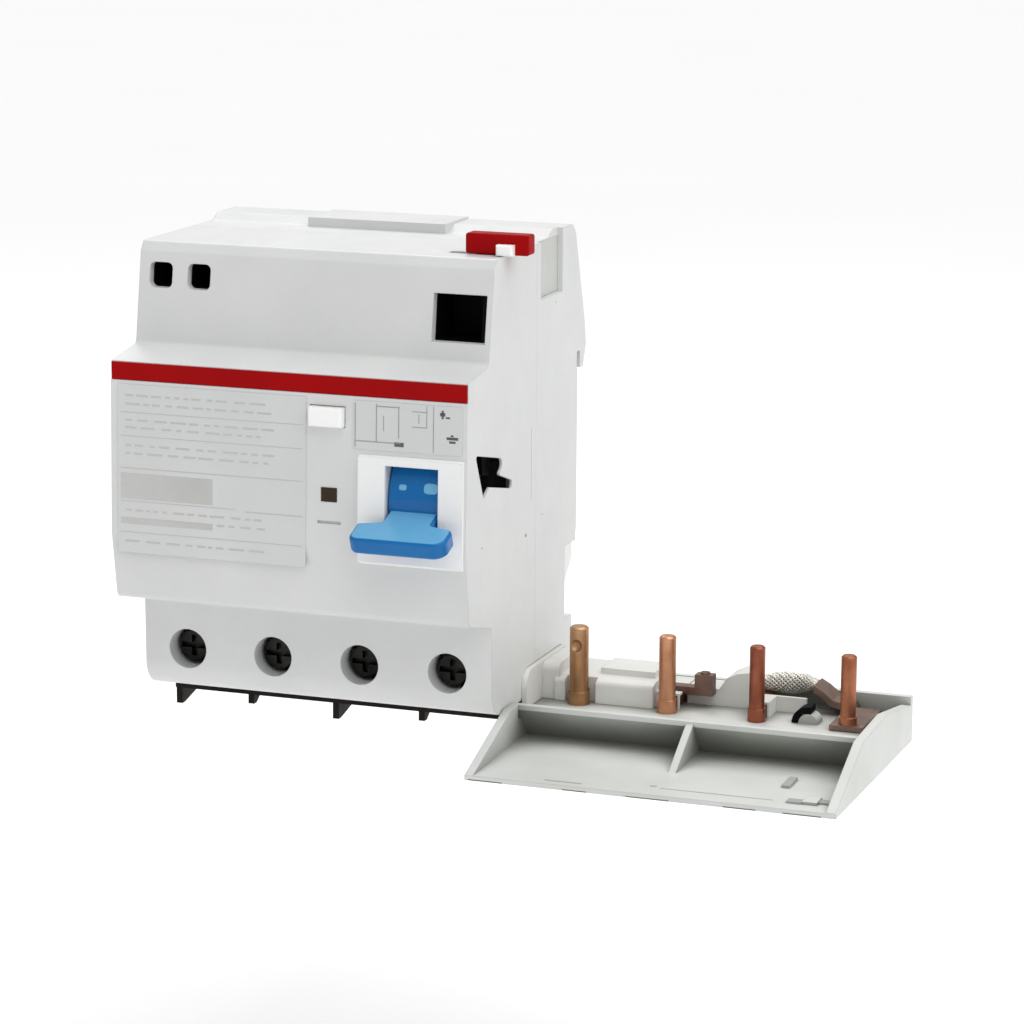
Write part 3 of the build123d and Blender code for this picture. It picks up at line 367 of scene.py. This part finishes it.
FILM = 0.18  # thickness of the two label films
rating_rules = [
    (-33.0, 3.4, 13.15, 13.27), (-33.0, 3.4, 8.75, 8.87), (-33.0, 3.4, 2.75, 2.9),
    (-33.0, -10.0, -3.4, -3.28), (-8.0, 3.4, -3.75, -3.55), (-33.0, 3.4, -9.2, -9.08),
]
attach(nose_print("rating_rules", rating_rules, ink_pale, FILM), "base")
rating_patch = [(-33.0, -14.5, -2.9, 1.9), (-33.0, -14.5, -7.6, -6.4)]
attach(nose_print("rating_patch", rating_patch, ink_pale, FILM, 0.02), "base")
RATING_ROW_Z = (16.2, 14.6, 11.6, 10.2, 6.9, 5.4, -5.2, -6.8, -11.0)
ROW_HEIGHT = 0.35
rating_rows = []
for row_z in RATING_ROW_Z:
    left = -32.0
    while left < -4.0:
        width = rng.uniform(0.8, 3.2)
        rating_rows.append((left, left + width, row_z, row_z + ROW_HEIGHT))
        left += width + rng.uniform(0.5, 1.4)
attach(nose_print("rating_rows", rating_rows, ink_pale, FILM), "base")

diagram_lines = [
    (13.5, 13.7, 10.0, 18.0), (17.6, 17.8, 11.2, 18.0), (21.9, 22.1, 12.0, 17.8),
    (17.6, 22.1, 17.5, 17.7), (13.6, 22.4, 11.0, 11.2), (24.6, 27.4, 17.0, 17.15),
    (24.6, 27.4, 14.2, 14.35), (27.3, 27.45, 14.2, 18.2), (28.6, 28.75, 9.9, 18.2),
    (19.0, 19.15, 13.2, 16.0), (25.8, 25.95, 15.0, 16.6),
]
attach(nose_print("diagram_lines", diagram_lines, ink_grey, FILM), "base")
diagram_marks = [
    (21.2, 23.0, 10.5, 11.3), (29.9, 30.9, 16.6, 17.2), (30.2, 30.6, 16.1, 17.6),
    (31.0, 31.8, 16.2, 16.5), (31.2, 33.4, 12.4, 12.9), (31.7, 32.9, 11.8, 12.2),
    (32.0, 32.5, 13.0, 13.3),
]
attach(nose_print("diagram_marks", diagram_marks, ink_dark, FILM), "base")


DRUM_AXIS_Y = -50.0
MARK_OUTER_R, MARK_INNER_R = 10.43, 10.30
MARK_SQUARENESS = 0.6  # below 1 makes an oval's sides flatter


def drum_mark(name, x_mid, half_x, low, high, steps=10):
    """Rounded pale mark on the toggle's drum. The angles are degrees above the drum's centre line."""
    mid, half = (low + high) / 2, (high - low) / 2
    rim = []
    for i in range(4 * steps):
        turn = 2 * math.pi * i / (4 * steps)
        across = math.copysign(abs(math.cos(turn)) ** MARK_SQUARENESS, math.cos(turn))
        along = math.copysign(abs(math.sin(turn)) ** MARK_SQUARENESS, math.sin(turn))
        rim.append((x_mid + half_x * across, math.radians(mid + half * along)))
    count = len(rim)
    corners = []
    for radius in (MARK_OUTER_R, MARK_INNER_R):
        for x, angle in [(x_mid, math.radians(mid))] + rim:
            corners.append((x, DRUM_AXIS_Y - radius * math.cos(angle), radius * math.sin(angle)))
    faces = []
    under = count + 1
    for i in range(count):
        this, following = 1 + i, 1 + (i + 1) % count
        faces.append((0, this, following))
        faces.append((under, under + following, under + this))
        faces.append((this, under + this, under + following, following))
    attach(build_mesh(name, corners, faces, mark_blue), "toggle")


drum_mark("drum_mark_left", 22.6, 0.75, 14.0, 20.0)
drum_mark("drum_mark_right", 28.0, 1.35, 12.0, 23.0)


# ---- braided link -------------------------------------------------------------------
BRAID_TOP = [(76.4, -38.6), (78.6, -37.8), (81.0, -37.4), (84.8, -37.6), (87.4, -38.6)]
BRAID_FOOT = [(76.4, -41.7), (82.6, -42.0), (85.0, -41.3), (87.4, -40.2)]
BRAID_Y, BRAID_HALF_Y = -10.4, 1.15
BRAID_X, BRAID_LENGTH, BRAID_INSET = 76.65, 10.5, 0.35
STRANDS, TURNS, WIRE_R, WIRE_SIDES = 14, 0.85, 0.20, 5
WEAVE = 0.07  # share of the braid's size by which crossing wires pass over and under
CORE_SHARE, CORE_STEPS, CORE_SIDES = 0.82, 24, 20


def height_at(x, line):
    """Height of a broken line at x."""
    for (x0, z0), (x1, z1) in zip(line, line[1:]):
        if x <= x1:
            return z0 + (z1 - z0) * (x - x0) / (x1 - x0)
    return line[-1][1]


def braid_point(t, turn, lift):
    """Point on the braid's oval surface, at t along it and at the angle turn."""
    x = BRAID_X + BRAID_LENGTH * t
    top, foot = height_at(x, BRAID_TOP) - BRAID_INSET, height_at(x, BRAID_FOOT) + BRAID_INSET
    return Vector((x, BRAID_Y + BRAID_HALF_Y * lift * math.cos(turn),
                   (top + foot) / 2 + (top - foot) / 2 * lift * math.sin(turn)))


def add_tube(corners, faces, path, radius, sides):
    """Add a closed round tube along a path to a growing mesh."""
    start = len(corners)
    for i, point in enumerate(path):
        ahead = (path[min(i + 1, len(path) - 1)] - path[max(i - 1, 0)]).normalized()
        side = ahead.cross(Vector((0, 1, 0))).normalized()
        over = ahead.cross(side)
        for j in range(sides):
            turn = 2 * math.pi * j / sides
            corners.append(tuple(point + radius * (math.cos(turn) * side + math.sin(turn) * over)))
    for i in range(len(path) - 1):
        for j in range(sides):
            k = (j + 1) % sides
            low, high = start + i * sides, start + (i + 1) * sides
            faces.append((low + j, low + k, high + k, high + j))
    faces.append(tuple(start + j for j in reversed(range(sides))))
    faces.append(tuple(start + (len(path) - 1) * sides + j for j in range(sides)))


STEPS = 72
corners, faces = [], []
for way in (1, -1):
    for strand in range(STRANDS):
        path = []
        for step in range(STEPS + 1):
            t = step / STEPS
            turn = 2 * math.pi * (strand / STRANDS + way * TURNS * t)
            phase = 2 * math.pi * STRANDS * TURNS * t + math.pi * strand
            path.append(braid_point(t, turn, 1.0 + WEAVE * way * math.cos(phase)))
        add_tube(corners, faces, path, WIRE_R, WIRE_SIDES)
braid_wires = build_mesh("braid_wires", corners, faces, tinned, True)
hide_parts("flexible_link")
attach(braid_wires, "base")

# Dark core inside the wires: painted shade showing in the gaps between them.
corners, faces = [], []
for step in range(CORE_STEPS + 1):
    for j in range(CORE_SIDES):
        corners.append(tuple(braid_point(step / CORE_STEPS, 2 * math.pi * j / CORE_SIDES, CORE_SHARE)))
for step in range(CORE_STEPS):
    low, high = step * CORE_SIDES, (step + 1) * CORE_SIDES
    for j in range(CORE_SIDES):
        k = (j + 1) % CORE_SIDES
        faces.append((low + j, low + k, high + k, high + j))
faces.append(tuple(reversed(range(CORE_SIDES))))
faces.append(tuple(CORE_STEPS * CORE_SIDES + j for j in range(CORE_SIDES)))
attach(build_mesh("braid_core", corners, faces, braid_shade, True), "base")


# ---- small details on the tray and the right wall -----------------------------------
APRON_FRONT_Y, APRON_FRONT_Z = -62.0, -48.7
APRON_RISE, APRON_DEPTH = 0.6, 29.4
PAD_SINK = 0.1


def apron_z(y):
    """Upper face of the tray's apron."""
    return APRON_FRONT_Z + (y - APRON_FRONT_Y) * APRON_RISE / APRON_DEPTH


def apron_pads(name, pads, finish):
    """Thin pads on the apron. Each pad is (x0, x1, y0, y1, thickness)."""
    corners, faces = [], []
    for x0, x1, y0, y1, thick in pads:
        start = len(corners)
        for x in (x0, x1):
            for y in (y0, y1):
                for z in (apron_z(y) - PAD_SINK, apron_z(y) + thick):
                    corners.append((x, y, z))
        faces.extend(tuple(start + i for i in face) for face in BOX_FACES)
    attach(build_mesh(name, corners, faces, finish), "base")


# The dark pads are painted shade at the catch's ends, laid on thin raised pads; the plate between them
# keeps the tray's own white.
apron_pads("tray_catch", [(91.4, 92.9, -50.2, -44.6, 0.5), (94.6, 97.4, -58.6, -56.6, 0.35),
                          (100.2, 102.6, -57.4, -55.6, 0.35)], ink_grey)
apron_pads("tray_catch_plate", [(97.4, 100.2, -58.4, -54.8, 0.5)], tray_white)
apron_pads("tray_scuffs", [(36.2, 36.6, -60.5, -47.5, 0.04), (50.0, 57.0, -60.2, -59.7, 0.04),
                           (69.0, 70.2, -57.4, -56.6, 0.04), (71.0, 92.0, -57.9, -57.65, 0.04)],
           ink_grey)

LIP_DASHES = ((36.0, 42.5), (54.0, 58.5), (66.0, 74.0), (84.0, 90.0), (95.0, 102.0))
corners, faces = [], []
for dash in LIP_DASHES:
    add_box(corners, faces, dash, (-62.02, -61.8), (-49.6, -49.4))
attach(build_mesh("lip_dashes", corners, faces, ink_dark), "base")

# Grey sheet on the groove's floor: painted shade of the recessed groove.
corners, faces = [], []
add_box(corners, faces, (33.95, 34.03), (-21.25, -9.25), (32.25, 42.9))
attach(build_mesh("side_groove", corners, faces, groove_painted_shade), "base")

corners, faces = [], []
for y, z, size in ((-52.6, -8.9, 0.5), (-29.4, -11.4, 0.9), (-20.0, -9.0, 0.4), (-13.0, 30.5, 0.35)):
    add_box(corners, faces, (34.98, 35.03), (y, y + size), (z, z + 0.6 * size))
add_box(corners, faces, (34.98, 35.02), (-26.1, -26.0), (-5.0, 9.0))
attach(build_mesh("side_specks", corners, faces, ink_grey), "base")


# ---- floor --------------------------------------------------------------------------
FLOOR_BELOW, FLOOR_SIZE = 0.070, 6
floor_z = cad_box[0].z - FLOOR_BELOW
bpy.ops.mesh.primitive_plane_add(size=FLOOR_SIZE, location=(0, 0, floor_z))
floor = bpy.context.object
floor.name = "floor"
floor_paint = Shader("floor_paint")
paper = floor_paint.spread(floor_paint.noise(6, 3), 0.0, 1.0)
floor_paint.link(floor_paint.blend(paper, (0.985, 0.985, 0.985), (0.975, 0.975, 0.975)), "Base Color")
floor_paint.bsdf.inputs["Roughness"].default_value = 0.8
floor.data.materials.append(floor_paint.material)
